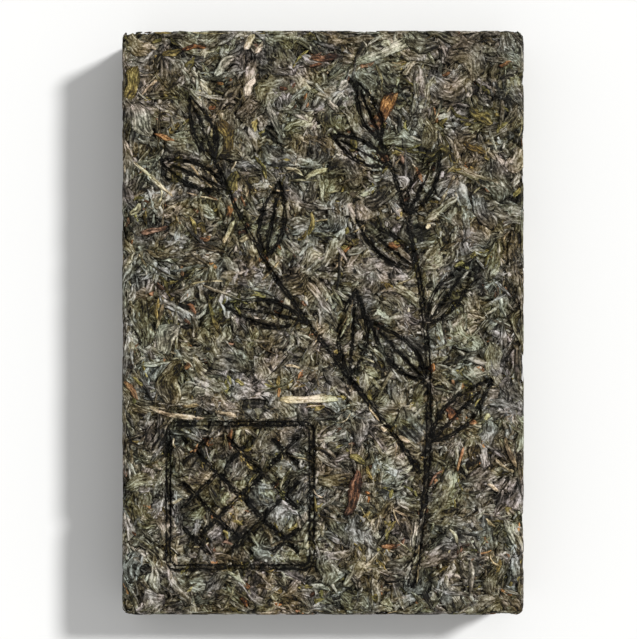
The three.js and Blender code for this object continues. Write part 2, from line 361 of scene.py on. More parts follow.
def press_tree():
    """Squeezes what stands out softly to the mould's wall, and lowers the face under the raised lines."""
    lengths = {"Softness": "Float", "Depth": "Float", "Wall": "Float"}
    tree, given, made = new_tree("press", {"Mould": "Object", "Raised lines": "Object", **lengths})
    wall = add(tree, "GeometryNodeObjectInfo", {0: given["Mould"]}, "Geometry")
    lines = add(tree, "GeometryNodeObjectInfo", {0: given["Raised lines"]}, "Geometry")
    place = add(tree, "GeometryNodeInputPosition")
    nearest = add(tree, "GeometryNodeProximity", {0: wall, 2: place}, target_element="FACES")
    flat_normal = add(
        tree,
        "GeometryNodeFieldOnDomain",
        {0: add(tree, "GeometryNodeInputNormal")},
        domain="FACE",
        data_type="FLOAT_VECTOR",
    )
    nearest_wall = {0: wall, 1: flat_normal, 3: place}
    outward = add(tree, "GeometryNodeSampleNearestSurface", nearest_wall, data_type="FLOAT_VECTOR")
    proud = vectors(tree, "DOT_PRODUCT", vectors(tree, "SUBTRACT", place, nearest), outward, output="Value")
    shrunk = sums(tree, "DIVIDE", sums(tree, "MULTIPLY", proud, -1.0), given["Softness"])
    eased = sums(tree, "LOGARITHM", sums(tree, "ADD", sums(tree, "EXPONENT", shrunk), 1.0), math.e)
    sunk = sums(tree, "MULTIPLY", sums(tree, "MULTIPLY", eased, given["Softness"]), -1.0)
    squeezed = vectors(tree, "ADD", nearest, scaled(tree, outward, sunk))
    in_plan = vectors(tree, "MULTIPLY_ADD", squeezed, (1, 1, 0), (0, 0, high.z))
    off_line = add(tree, "GeometryNodeProximity", {0: lines, 2: in_plan}, "Distance", target_element="FACES")
    depth = add(
        tree,
        "ShaderNodeMapRange",
        {0: off_line, 1: 0.0, 2: given["Wall"], 3: given["Depth"], 4: 0.0},
        interpolation_type="SMOOTHSTEP",
    )
    under = kept(tree, "under_line")
    uneven = noise(tree, {"Vector": in_plan, "Scale": press_patches, "Detail": 2.0})
    ends = {0: uneven, 1: noise_low, 2: noise_high, 3: least_press, 4: most_press}
    uneven = add(tree, "ShaderNodeMapRange", ends)
    depth = sums(tree, "MAXIMUM", depth, sums(tree, "MULTIPLY", under, given["Depth"]))
    depth = sums(tree, "MULTIPLY", depth, uneven)
    height = axis(tree, squeezed, "Z")
    on_face = sums(tree, "GREATER_THAN", height, (low.z + high.z) / 2)
    depth = sums(tree, "MULTIPLY", depth, on_face)
    drop = add(tree, "ShaderNodeCombineXYZ", {2: sums(tree, "MULTIPLY", depth, -1.0)})
    pressed = add(
        tree, "GeometryNodeSetPosition", {0: given["Geometry"], 2: vectors(tree, "ADD", squeezed, drop)}
    )
    tree.links.new(pressed, made["Geometry"])
    return tree


def use_tree(piece, tree, values):
    """Gives the piece a modifier that runs the tree with these named sizes."""
    modifier = piece.modifiers.new(tree.name, "NODES")
    modifier.node_group = tree
    for socket in tree.interface.items_tree:
        if socket.in_out == "INPUT" and socket.name in values:
            modifier[socket.identifier] = values[socket.name]


def finished(piece):
    """Turns what the piece's modifiers make into a plain mesh of its own."""
    depsgraph = bpy.context.evaluated_depsgraph_get()
    mesh = bpy.data.meshes.new_from_object(
        piece.evaluated_get(depsgraph), preserve_all_data_layers=True, depsgraph=depsgraph
    )
    piece.modifiers.clear()
    piece.data = mesh
    return piece


use_tree(raised_lines, join_tree(), {"Bars": bars, "Wander": line_wander})
finished(raised_lines)
stamp = stamp_tree()
press = press_tree()
pressing = {
    "Mould": mould,
    "Raised lines": raised_lines,
    "Softness": squeeze_softness,
    "Depth": pressed_depth,
    "Wall": shoulder,
}


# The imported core: the bulk of the brick, steamed leaves pressed to one dense mass that dries hard. It
# shows in the gaps between the outer leaves and at the bottom of the pressed lines, as scraps of leaf
# with ripples of their own.
core_voxel = 0.0014
core_depth = 0.0012
core_roughness = 0.0034
core_lump_scale = 210.0
fibre_stretch = (0.34, 0.92, 1.0)
fibre_grain = {"Scale": 1.0, "Detail": 4.0, "Roughness": 0.62, "Distortion": 0.8}
ripple_form = {"Scale": 0.20, "Distortion": 6.0, "Detail": 2.0, "Detail Scale": 1.2}
ripple_weight = 0.11
least_spacing, more_spacing = 0.75, 0.5
scrap_scale, scrap_bend_scale, scrap_bend = 190.0, 160.0, 0.006
scrap_ripples, scrap_grain = 900.0, 170
scrap_tone, more_scrap_tone = 0.12, 0.4
cloud_scale, cloud_weight = 260.0, 1.3
grain_scale, grain_weight, grain_relief = 1000.0, 0.8, 0.5
patch_scale, patch_weight = 110.0, 0.7
# Painted light and shade on the crests and hollows of the leaves' wrinkles.
painted_ridge_light = 0.7
# Painted shade on the floors of the pressed lines.
painted_groove_shade = -0.09
stain_scale, stain_weight = 75.0, 2.6
# Fibre colour plus painted light and shade on the ripples.
fibre_tone_and_painted_ripple_shade, fibre_relief = 2.1, 0.0013
own_yellow_least, own_yellow_more = 0.15, 0.7
own_flush_least, own_flush_more = 0.2, 0.6
seed_stretch, seed_shift = 7.31, 311.0
silkiest, dullest = 0.4, 0.65
leaf_gloss = 0.2
greenest = (0.95, 1.01, 1.0)
reddest = (1.14, 0.96, 1.0)
dark_cool = [
    (0.0, (0.0030, 0.0026, 0.0012)),
    (0.25, (0.0305, 0.0290, 0.0205)),
    (0.5, (0.111, 0.109, 0.091)),
    (0.75, (0.236, 0.237, 0.209)),
    (1.0, (0.51, 0.52, 0.485)),
]
dark_warm = [
    (0.0, (0.0040, 0.0026, 0.0003)),
    (0.25, (0.041, 0.0310, 0.0045)),
    (0.5, (0.130, 0.112, 0.048)),
    (0.75, (0.257, 0.242, 0.143)),
    (1.0, (0.53, 0.515, 0.355)),
]


def core_tree():
    """Lowers the mould's form to the core and makes it lumpy."""
    tree, given, made = new_tree("core_relief", {"Depth": "Float", "Relief": "Float"})
    bumps = noise(tree, {"Scale": core_lump_scale, "Detail": 4.0, "Roughness": 0.6, "Distortion": 2.5})
    relief = sums(tree, "MULTIPLY", sums(tree, "SUBTRACT", bumps, 0.5), given["Relief"])
    inwards = sums(tree, "SUBTRACT", relief, given["Depth"])
    offset = scaled(tree, add(tree, "GeometryNodeInputNormal"), inwards)
    moved = add(tree, "GeometryNodeSetPosition", {0: given["Geometry"], 3: offset})
    tree.links.new(moved, made["Geometry"])
    return tree


def mixed(tree, share, first, second, blend="MIX"):
    """Mixes two colours."""
    node = tree.nodes.new("ShaderNodeMix")
    node.data_type = "RGBA"
    node.blend_type = blend
    for socket, value in ((0, share), (6, first), (7, second)):
        if isinstance(value, bpy.types.NodeSocket):
            tree.links.new(value, node.inputs[socket])
        else:
            node.inputs[socket].default_value = value if socket == 0 else (*value, 1)
    return node.outputs[2]


def ramp(tree, value, stops):
    """A colour ramp through (place, colour) stops."""
    node = tree.nodes.new("ShaderNodeValToRGB")
    tree.links.new(value, node.inputs[0])
    elements = node.color_ramp.elements
    while len(elements) < len(stops):
        elements.new(1)
    for element, (place, colour) in zip(elements, stops):
        element.position = place
        element.color = (*colour, 1)
    return node.outputs[0]


def weighed(tree, value, weight, onto):
    """Adds how far the value lies from a half, times the weight."""
    return sums(tree, "MULTIPLY_ADD", sums(tree, "SUBTRACT", value, 0.5), weight, onto)


def leaf_material(name, cool, warm, warmth=0.5, packed=False):
    """Dry pressed leaf. cool and warm are the tones, from darkest to palest, of the greyest and the
    yellowest leaf. Each leaf has its own place between them, greener or redder, and its fibres make it
    darker and paler. The crests of its wrinkles and ripples are painted paler and their hollows darker, as
    painted light and shade, and the floors of the pressed lines get painted shade. A packed leaf has no
    shape of its own, only scraps drawn on the core."""
    material = bpy.data.materials.new(name)
    material.use_nodes = True
    tree = material.node_tree
    shader = tree.nodes["Principled BSDF"]
    place = add(tree, "ShaderNodeTexCoord", output="Object")
    own_tone = add(tree, "ShaderNodeAttribute", output="Fac", attribute_name="leaf_tone")
    own_seed = add(tree, "ShaderNodeAttribute", output="Fac", attribute_name="leaf_seed")
    ridge = add(tree, "ShaderNodeAttribute", output="Fac", attribute_name="leaf_ridge")
    on_leaf = add(tree, "ShaderNodeUVMap", uv_map="leaf_uv")
    own_shift = add(tree, "ShaderNodeCombineXYZ", {2: sums(tree, "MULTIPLY", own_seed, seed_shift)})
    along_fibres = vectors(tree, "MULTIPLY_ADD", on_leaf, fibre_stretch, own_shift)
    spacing = sums(tree, "MULTIPLY_ADD", own_seed, more_spacing, least_spacing)
    along_ripples = vectors(tree, "MULTIPLY_ADD", scaled(tree, on_leaf, spacing), (1, 1, 1), own_shift)
    if packed:
        bent = noise(tree, {"Vector": place, "Scale": scrap_bend_scale, "Detail": 2.0}, 1)
        bent = vectors(tree, "MULTIPLY_ADD", bent, (scrap_bend,) * 3, place)
        scraps = add(tree, "ShaderNodeTexVoronoi", {"Vector": bent, "Scale": scrap_scale}, "Color")
        across = vectors(tree, "NORMALIZE", vectors(tree, "SUBTRACT", scraps, (0.5, 0.5, 0.5)))
        ripples = vectors(tree, "DOT_PRODUCT", place, across, output="Value")
        ripples = sums(tree, "MULTIPLY", ripples, scrap_ripples)
        along_fibres = vectors(tree, "MULTIPLY_ADD", place, (scrap_grain,) * 3, scaled(tree, across, ripples))
        along_ripples = add(tree, "ShaderNodeCombineXYZ", {1: ripples})
        own_seed = add(tree, "ShaderNodeSeparateColor", {0: scraps}, "Blue")
        own_tone = sums(tree, "MULTIPLY_ADD", own_seed, more_scrap_tone, scrap_tone)
    fibres = noise(tree, {"Vector": along_fibres, **fibre_grain})
    wave_form = {"Vector": along_ripples, **ripple_form}
    wave = add(tree, "ShaderNodeTexWave", wave_form, "Fac", bands_direction="Y")
    fibres = weighed(tree, wave, ripple_weight, fibres)
    clouds = noise(tree, {"Vector": place, "Scale": cloud_scale, "Detail": 5.0, "Roughness": 0.7})
    patches = noise(tree, {"Vector": place, "Scale": patch_scale, "Detail": 1.0})
    grain = noise(tree, {"Vector": place, "Scale": grain_scale, "Detail": 2.0})
    tone = weighed(tree, clouds, cloud_weight, own_tone)
    tone = weighed(tree, grain, grain_weight, tone)
    tone = weighed(tree, patches, patch_weight, tone)
    # Fibre colour plus painted light and shade: ripple crests of the bump are paler, troughs darker.
    tone = weighed(tree, fibres, fibre_tone_and_painted_ripple_shade, tone)
    # Painted highlight and shade: the crests of each leaf's wrinkles are paler and their hollows darker.
    tone = weighed(tree, ridge, 0.0 if packed else painted_ridge_light, tone)
    # Painted shade: the tone is darker on the floors of the pressed lines, where shade falls.
    under = add(tree, "ShaderNodeAttribute", output="Fac", attribute_name="under_line")
    tone = sums(tree, "MULTIPLY_ADD", under, painted_groove_shade, tone)
    stains = noise(tree, {"Vector": place, "Scale": stain_scale, "Detail": 4.0}, 1)
    yellower = add(tree, "ShaderNodeSeparateColor", {0: stains}, "Red")
    redder = add(tree, "ShaderNodeSeparateColor", {0: stains}, "Green")
    other_seed = sums(tree, "FRACT", sums(tree, "MULTIPLY", own_seed, seed_stretch))
    own_yellow = sums(tree, "MULTIPLY_ADD", own_seed, own_yellow_more, own_yellow_least)
    own_flush = sums(tree, "MULTIPLY_ADD", other_seed, own_flush_more, own_flush_least)
    yellower = weighed(tree, yellower, stain_weight, own_yellow)
    redder = weighed(tree, redder, stain_weight, own_flush)
    hue = add(tree, "ShaderNodeMapRange", {0: yellower, 1: 0.5 - warmth, 2: 1.5 - warmth, 3: 0.0, 4: 1.0})
    blush = add(tree, "ShaderNodeMapRange", {0: redder, 1: 0.0, 2: 1.0, 3: 0.0, 4: 1.0})
    colour = mixed(tree, hue, ramp(tree, tone, cool), ramp(tree, tone, warm))
    colour = mixed(tree, 1.0, colour, mixed(tree, blush, greenest, reddest), "MULTIPLY")
    tree.links.new(colour, shader.inputs["Base Color"])
    gloss = add(tree, "ShaderNodeMapRange", {0: clouds, 1: 0.3, 2: 0.7, 3: silkiest, 4: dullest})
    tree.links.new(gloss, shader.inputs["Roughness"])
    shader.inputs["Specular IOR Level"].default_value = leaf_gloss
    height = sums(tree, "MULTIPLY_ADD", grain, grain_relief, fibres)
    bump = add(tree, "ShaderNodeBump", {"Strength": 1.0, "Distance": fibre_relief, "Height": height})
    tree.links.new(bump, shader.inputs["Normal"])
    return material


core = new_object("tea_core", mould.data.copy())
remesh = core.modifiers.new("packed", "REMESH")
remesh.mode = "VOXEL"
remesh.voxel_size = core_voxel
use_tree(core, core_tree(), {"Depth": core_depth, "Relief": core_roughness})
use_tree(core, stamp, pressing)
use_tree(core, press, pressing)
finished(core)
core.data.shade_smooth()
core.data.materials.clear()
core.data.materials.append(leaf_material("packed_leaf", dark_cool, dark_warm, packed=True))
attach(core, "root")
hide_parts("tea_brick")


# The outer leaves. Steamed tea leaves are rolled to wrinkled strips, laid in the mould by the handful and
# pressed: they lie flat in every direction on the broad faces, along the edges near the rims and level in
# the sides.
millimetres = 1000
edge_waves, edge_wave_least, edge_wave_most = 9, 0.06, 0.2
sways, sway = 7, 0.12
keel = 0.0002
flat_wall = 0.8
swirl_scale, swirl_turn = 46.0, 5 * math.pi
rim_near, rim_reach, rim_pull = 0.003, 0.007, 1.2
side_slope = 0.5
thinnest, thickest = 0.7, 1.2
weave_layers, ridge_layers = 173.0, 457.0
tear_scale = 300.0
ridge_length = 0.2
laid_height, laid_crown, laid_bend = 0.0007, 0.0006, 1 / 12
laid_row, laid_column = 1.4, 0.8
first_laid_seed = 200


def leaf_shape(
    seed, length, width, rows, columns, crown, folds=0.0, twist=0.0, fold_height=0.0, blunt=0.6, bend=0.0
):
    """One leaf along X, pointed or torn at both ends: a crowned and folded upper side over a keel. Length
    and width are ranges to draw from, and bend is the most that it bends to either side."""
    draw = random.Random(seed)
    long, wide, bent = draw.uniform(*length), draw.uniform(*width), draw.uniform(-bend, bend)
    phase = draw.uniform(0, 2 * math.pi)
    waviness = draw.uniform(edge_wave_least, edge_wave_most)
    corners, spots, faces = [(-long / 2, 0, 0)], [(-long / 2, 0)], []
    for row in range(1, rows):
        share = row / rows
        rounded = math.sin(math.pi * share)
        half = wide / 2 * rounded**blunt * (1 + waviness * math.sin(edge_waves * share + phase))
        middle = bent * rounded + wide * sway * math.sin(sways * share + 2 * phase)
        x = long * (share - 0.5)
        for column in range(columns + 1):
            side = column / columns
            rib = math.sin(2 * math.pi * (folds * side + twist * share) + phase)
            rib *= math.sin(math.pi * side) ** 0.5
            up = crown * (1 - (2 * side - 1) ** 2) * rounded**0.5 + fold_height * rib
            corners.append((x, middle + (2 * side - 1) * half, up))
            spots.append((x, (side - 0.5) * wide))
        corners.append((x, middle, -crown / 2 - keel))
        spots.append((x, 0))
    corners.append((long / 2, 0, 0))
    spots.append((long / 2, 0))
    last, ring = len(corners) - 1, columns + 2
    for here in range(ring):
        there = (here + 1) % ring
        faces.append((0, 1 + there, 1 + here))
        for row in range(rows - 2):
            start = 1 + row * ring
            faces.append((start + here, start + there, start + ring + there, start + ring + here))
        end = last - ring
        faces.append((last, end + here, end + there))
    mesh = bpy.data.meshes.new("leaf_shape")
    mesh.from_pydata(corners, [], faces)
    on_leaf = mesh.uv_layers.new(name="leaf_uv")
    for corner in mesh.loops:
        on_leaf.data[corner.index].uv = Vector(spots[corner.vertex_index]) * millimetres
    mesh.shade_smooth()
    return mesh


def leaf_shapes(seeds, **form):
    return [leaf_shape(seed, **form) for seed in seeds]


def spread_tree():
    """Scatters leaf shapes over the mould's walls, each in its own direction, size, height and tone."""
    sizes = {
        "Shapes": "Collection",
        "Face density": "Float",
        "Back density": "Float",
        "Side density": "Float",
        "Smallest": "Float",
        "Largest": "Float",
        "Lowest": "Float",
        "Highest": "Float",
        "Wander": "Float",
        "Tilt": "Float",
        "Darkest": "Float",
        "Palest": "Float",
        "Laid": "Collection",
        "Seed": "Int",
        "Material": "Material",
    }
    tree, given, made = new_tree("spread", sizes)

    def chance(smallest, largest, shift):
        seed = sums(tree, "ADD", given["Seed"], float(shift))
        return add(tree, "FunctionNodeRandomValue", {2: smallest, 3: largest, 8: seed}, 1, data_type="FLOAT")

    def nearness(distance):
        ends = {0: distance, 1: rim_near, 2: rim_reach, 3: 1.0, 4: 0.0}
        return add(tree, "ShaderNodeMapRange", ends, interpolation_type="SMOOTHSTEP")

    wall_normal = add(tree, "GeometryNodeInputNormal", output="True Normal")
    wall_up = axis(tree, wall_normal, "Z")
    on_face = sums(tree, "GREATER_THAN", wall_up, flat_wall)
    on_back = sums(tree, "LESS_THAN", wall_up, -flat_wall)
    on_side = sums(tree, "SUBTRACT", sums(tree, "SUBTRACT", 1.0, on_face), on_back)
    density = sums(tree, "MULTIPLY", on_face, given["Face density"])
    density = sums(tree, "MULTIPLY_ADD", on_back, given["Back density"], density)
    density = sums(tree, "MULTIPLY_ADD", on_side, given["Side density"], density)
    spots = tree.nodes.new("GeometryNodeDistributePointsOnFaces")
    tree.links.new(given["Geometry"], spots.inputs["Mesh"])
    tree.links.new(density, spots.inputs["Density"])
    tree.links.new(given["Seed"], spots.inputs["Seed"])
    normal = spots.outputs["Normal"]
    height = chance(given["Lowest"], given["Highest"], 1)
    raised = {0: spots.outputs["Points"], 3: scaled(tree, normal, height)}
    points = add(tree, "GeometryNodeSetPosition", raised)

    place = add(tree, "GeometryNodeInputPosition")
    swirl = noise(tree, {"Vector": place, "Scale": swirl_scale, "Detail": 1.0})
    wander = sums(tree, "MULTIPLY", chance(-1.0, 1.0, 2), given["Wander"])
    turn = sums(tree, "MULTIPLY_ADD", swirl, swirl_turn, wander)
    any_way_x = sums(tree, "COSINE", turn)
    any_way_y = sums(tree, "SINE", turn)
    x = axis(tree, place, "X")
    y = axis(tree, place, "Y")
    from_side = sums(tree, "SUBTRACT", high.x, sums(tree, "ABSOLUTE", x))
    from_end = sums(tree, "SUBTRACT", high.y, sums(tree, "ABSOLUTE", y))
    pull_y = sums(tree, "MULTIPLY", nearness(from_side), sums(tree, "SIGN", any_way_y))
    pull_x = sums(tree, "MULTIPLY", nearness(from_end), sums(tree, "SIGN", any_way_x))
    flat_x = sums(tree, "MULTIPLY_ADD", pull_x, rim_pull, any_way_x)
    flat_y = sums(tree, "MULTIPLY_ADD", pull_y, rim_pull, any_way_y)
    flat_way = add(tree, "ShaderNodeCombineXYZ", {0: flat_x, 1: flat_y})
    slope = add(tree, "ShaderNodeCombineXYZ", {2: chance(-side_slope, side_slope, 3)})
    level_way = vectors(tree, "ADD", vectors(tree, "CROSS_PRODUCT", normal, (0, 0, 1)), slope)
    up = sums(tree, "ABSOLUTE", axis(tree, normal, "Z"))
    broad = sums(tree, "GREATER_THAN", up, flat_wall)
    narrow = sums(tree, "SUBTRACT", 1.0, broad)
    way = vectors(tree, "ADD", scaled(tree, flat_way, broad), scaled(tree, level_way, narrow))
    way = vectors(tree, "NORMALIZE", way)
    tilt = sums(tree, "MULTIPLY", chance(-1.0, 1.0, 8), given["Tilt"])
    way = vectors(tree, "ADD", way, scaled(tree, normal, tilt))
    store = {"data_type": "FLOAT_VECTOR", "domain": "POINT"}
    points = add(tree, "GeometryNodeStoreNamedAttribute", {0: points, 2: "way", 3: way}, **store)
    points = add(tree, "GeometryNodeStoreNamedAttribute", {0: points, 2: "outward", 3: normal}, **store)
    way = kept(tree, "way", "FLOAT_VECTOR")
    outward = kept(tree, "outward", "FLOAT_VECTOR")
    axes = {"primary_axis": "X", "secondary_axis": "Z"}
    facing = add(tree, "FunctionNodeAxesToRotation", {0: way, 1: outward}, **axes)
    stretch = {
        0: chance(given["Smallest"], given["Largest"], 4),
        1: chance(given["Smallest"], given["Largest"], 5),
        2: chance(thinnest, thickest, 6),
    }
    scale = add(tree, "ShaderNodeCombineXYZ", stretch)
    shapes = add(tree, "GeometryNodeCollectionInfo", {0: given["Shapes"], 1: True, 2: True})
    leaves = add(tree, "GeometryNodeInstanceOnPoints", {0: points, 2: shapes, 3: True, 5: facing, 6: scale})
    own = {"data_type": "FLOAT", "domain": "INSTANCE"}
    tones = {0: leaves, 2: "leaf_tone", 3: chance(given["Darkest"], given["Palest"], 7)}
    leaves = add(tree, "GeometryNodeStoreNamedAttribute", tones, **own)
    seeds = {0: leaves, 2: "leaf_seed", 3: chance(0.0, 1.0, 9)}
    leaves = add(tree, "GeometryNodeStoreNamedAttribute", seeds, **own)
    laid = add(tree, "GeometryNodeCollectionInfo", {0: given["Laid"], 1: True})
    both = tree.nodes.new("GeometryNodeJoinGeometry")
    tree.links.new(leaves, both.inputs[0])
    tree.links.new(laid, both.inputs[0])
    leaves = add(tree, "GeometryNodeRealizeInstances", {0: both.outputs[0]})
    leaves = add(tree, "GeometryNodeSetMaterial", {0: leaves, 2: given["Material"]})
    tree.links.new(leaves, made["Geometry"])
    return tree


def spread_sizes(densities, sizes, heights, tones, wander, tilt, seed, material):
    """The spread tree's inputs. Densities are leaves to a square metre of the face, the back and the sides,
    and the other pairs hold the least and the most."""
    face, back, side = densities
    return {
        "Face density": face,
        "Back density": back,
        "Side density": side,
        "Smallest": sizes[0],
        "Largest": sizes[1],
        "Lowest": heights[0],
        "Highest": heights[1],
        "Darkest": tones[0],
        "Palest": tones[1],
        "Wander": wander,
        "Tilt": tilt,
        "Seed": seed,
        "Material": material,
    }


def crumple_tree():
    """Makes each leaf wave in and out between its neighbours, with ragged edges and wrinkles along it."""
    sizes = {
        "Weave": "Float",
        "Weave scale": "Float",
        "Ragged": "Float",
        "Wrinkle": "Float",
        "Wrinkle pitch": "Float",
    }
    tree, given, made = new_tree("crumple", sizes)
    own = kept(tree, "leaf_seed")
    outward = kept(tree, "outward", "FLOAT_VECTOR")
    on_leaf = kept(tree, "leaf_uv", "FLOAT_VECTOR")
    place = add(tree, "GeometryNodeInputPosition")
    layer = sums(tree, "MULTIPLY", own, weave_layers)
    weave_noise = {"Vector": place, "W": layer, "Scale": given["Weave scale"], "Detail": 1.0}
    weave = sums(tree, "SUBTRACT", noise(tree, weave_noise, dimensions="4D"), 0.5)
    tear_noise = {"Vector": place, "W": layer, "Scale": tear_scale, "Detail": 3.0, "Roughness": 0.7}
    tear = noise(tree, tear_noise, output=1, dimensions="4D")
    tear = scaled(tree, vectors(tree, "SUBTRACT", tear, (0.5, 0.5, 0.5)), given["Ragged"])
    pitch = sums(tree, "DIVIDE", 1.0, given["Wrinkle pitch"])
    along = sums(tree, "MULTIPLY", pitch, ridge_length)
    stretch = add(tree, "ShaderNodeCombineXYZ", {0: along, 1: pitch, 2: 1.0})
    shift = add(tree, "ShaderNodeCombineXYZ", {2: sums(tree, "MULTIPLY", own, ridge_layers)})
    spot = vectors(tree, "MULTIPLY_ADD", on_leaf, stretch, shift)
    ridge = noise(tree, {"Vector": spot, "Scale": 1.0, "Detail": 2.0, "Roughness": 0.6, "Distortion": 0.5})
    ridge = add(tree, "ShaderNodeMapRange", {0: ridge, 1: 0.3, 2: 0.7, 3: 0.0, 4: 1.0})
    stored = {0: given["Geometry"], 2: "leaf_ridge", 3: ridge}
    leaves = add(tree, "GeometryNodeStoreNamedAttribute", stored, data_type="FLOAT", domain="POINT")
    ridge = kept(tree, "leaf_ridge")
    rise = sums(tree, "MULTIPLY", weave, given["Weave"])
    rise = sums(tree, "MULTIPLY_ADD", sums(tree, "SUBTRACT", ridge, 0.5), given["Wrinkle"], rise)
    offset = vectors(tree, "ADD", tear, scaled(tree, outward, rise))
    leaves = add(tree, "GeometryNodeSetPosition", {0: leaves, 3: offset})
    tree.links.new(leaves, made["Geometry"])
    return tree


spread = spread_tree()
crumple = crumple_tree()


def laid_leaves(name, places, blunt):
    """Leaves laid one by one on the face. A place is x and y from the middle of the face, length and
    width, all in millimetres, then the angle from the x axis in degrees and the tone."""
    collection = bpy.data.collections.new(name + "_laid")
    for seed, (x, y, length, width, angle, tone) in enumerate(places):
        long, wide = length / millimetres, width / millimetres
        rows = max(6, round(length / laid_row))
        columns = max(3, round(width / laid_column))
        crown = min(laid_crown, wide / 4)
        form = {"rows": rows, "columns": columns, "crown": crown, "blunt": blunt, "bend": long * laid_bend}
        mesh = leaf_shape(first_laid_seed + seed, (long, long), (wide, wide), **form)
        count = len(mesh.vertices)
        own = random.Random(seed).random()
        mesh.attributes.new("leaf_tone", "FLOAT", "POINT").data.foreach_set("value", [tone] * count)
        mesh.attributes.new("leaf_seed", "FLOAT", "POINT").data.foreach_set("value", [own] * count)
        mesh.attributes.new("outward", "FLOAT_VECTOR", "POINT").data.foreach_set("vector", [0, 0, 1] * count)
        leaf = bpy.data.objects.new("leaf_shape", mesh)
        leaf.location = (x / millimetres, y / millimetres, high.z + laid_height)
        leaf.rotation_euler.z = math.radians(angle)
        collection.objects.link(leaf)
    return collection


def pressed_leaves(name, shapes, spreading, crumpling, laid=(), blunt=0.4):
    """Scatters the shapes, crumples and presses them, and makes them one piece."""
    collection = bpy.data.collections.new(name + "_shapes")
    for mesh in shapes:
        collection.objects.link(bpy.data.objects.new("leaf_shape", mesh))
    by_hand = laid_leaves(name, laid, blunt)
    piece = new_object(name, mould.data.copy())
    use_tree(piece, spread, {"Shapes": collection, "Laid": by_hand, **spreading})
    use_tree(piece, crumple, crumpling)
    use_tree(piece, stamp, pressing)
    use_tree(piece, press, pressing)
    finished(piece)
    for used in (collection, by_hand):
        for shape in list(used.objects):
            bpy.data.objects.remove(shape)
        bpy.data.collections.remove(used)
    return piece


# Open leaves: grown leaves that the steam unrolled, whole or torn, pressed into wrinkled sheets. They lie
# under the smaller leaves and stick to them by their own dried juice.
dark_leaf = leaf_material("dark_leaf", dark_cool, dark_warm)
open_shapes = leaf_shapes(
    range(10), length=(0.012, 0.021), width=(0.006, 0.011), rows=8, columns=10,
    crown=0.0003, blunt=0.4, bend=0.002,
)
open_leaves = pressed_leaves(
    "open_leaves",
    open_shapes,
    spread_sizes(
        densities=(10500.0, 4200.0, 9000.0), sizes=(0.7, 1.25), heights=(-0.0012, 0.0003),
        tones=(0.28, 0.62), wander=0.8, tilt=0.06, seed=21,
        material=dark_leaf,
    ),
    {"Weave": 0.0024, "Weave scale": 170.0, "Ragged": 0.0050, "Wrinkle": 0.0012, "Wrinkle pitch": 1.4},
)
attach(open_leaves, "root")


# Rolled leaves: the bulk of the face, rolled by hand to wrinkled strips and flattened by the press. Eight
# large ones are laid where the photo shows them.
rolled_shapes = leaf_shapes(
    range(12), length=(0.009, 0.017), width=(0.0024, 0.0044), rows=8, columns=5,
    crown=0.0004, folds=1.3, twist=0.6, fold_height=0.0003, blunt=0.4, bend=0.0010,
)
rolled_leaves = pressed_leaves(
    "rolled_leaves",
    rolled_shapes,
    spread_sizes(
        densities=(22000.0, 6500.0, 12500.0), sizes=(0.5, 1.5), heights=(-0.0009, 0.0002),
        tones=(0.20, 0.72), wander=0.5, tilt=0.06, seed=3,
        material=dark_leaf,
    ),
    {"Weave": 0.0014, "Weave scale": 150.0, "Ragged": 0.0030, "Wrinkle": 0.0009, "Wrinkle pitch": 1.1},
    laid=[
        (-40, 68.5, 15, 5, -15, 0.12),
        (76, 101.5, 8, 5, 20, 0.15),
        (61.5, -55, 12, 6, 70, 0.15),
        (24, 52, 16, 8, 30, 0.3),
        (66, 44.5, 15, 7, -60, 0.42),
        (-13, 15, 18, 9, 40, 0.3),
        (-62, -24.5, 19, 10, 80, 0.42),
        (38, -12, 17, 8, -50, 0.28),
    ],
)
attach(rolled_leaves, "root")


# Twisted leaves: the finest strips, young leaves twisted tight enough to keep their roundness in the
# press. They cross over the wider ones.
twisted_shapes = leaf_shapes(
    range(40, 52), length=(0.009, 0.019), width=(0.0012, 0.0021), rows=9, columns=3,
    crown=0.0004, folds=1.0, twist=1.8, fold_height=0.0002, bend=0.0010,
)
twisted_leaves = pressed_leaves(
    "twisted_leaves",
    twisted_shapes,
    spread_sizes(
        densities=(20000.0, 9000.0, 18000.0), sizes=(0.45, 1.5), heights=(-0.0006, 0.0002),
        tones=(0.18, 0.70), wander=0.5, tilt=0.05, seed=5,
        material=dark_leaf,
    ),
    {"Weave": 0.0012, "Weave scale": 140.0, "Ragged": 0.0014, "Wrinkle": 0.0002, "Wrinkle pitch": 0.9},
)
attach(twisted_leaves, "root")


# Leaf crumbs: chips and torn corners that break off when the tea is handled. They fill the hollows
# between the larger pieces and are pressed in with them.
crumb_shapes = leaf_shapes(
    range(20, 28), length=(0.0018, 0.0042), width=(0.0009, 0.0022), rows=4, columns=2,
    crown=0.0004, blunt=0.35,
)
leaf_crumbs = pressed_leaves(
    "leaf_crumbs",
    crumb_shapes,
    spread_sizes(
        densities=(50000.0, 20000.0, 30000.0), sizes=(0.6, 1.3), heights=(-0.0010, -0.0002),
        tones=(0.18, 0.64), wander=1.6, tilt=0.2, seed=71,
        material=dark_leaf,
    ),
    {"Weave": 0.0010, "Weave scale": 300.0, "Ragged": 0.0012, "Wrinkle": 0.0001, "Wrinkle pitch": 0.9},
)
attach(leaf_crumbs, "root")
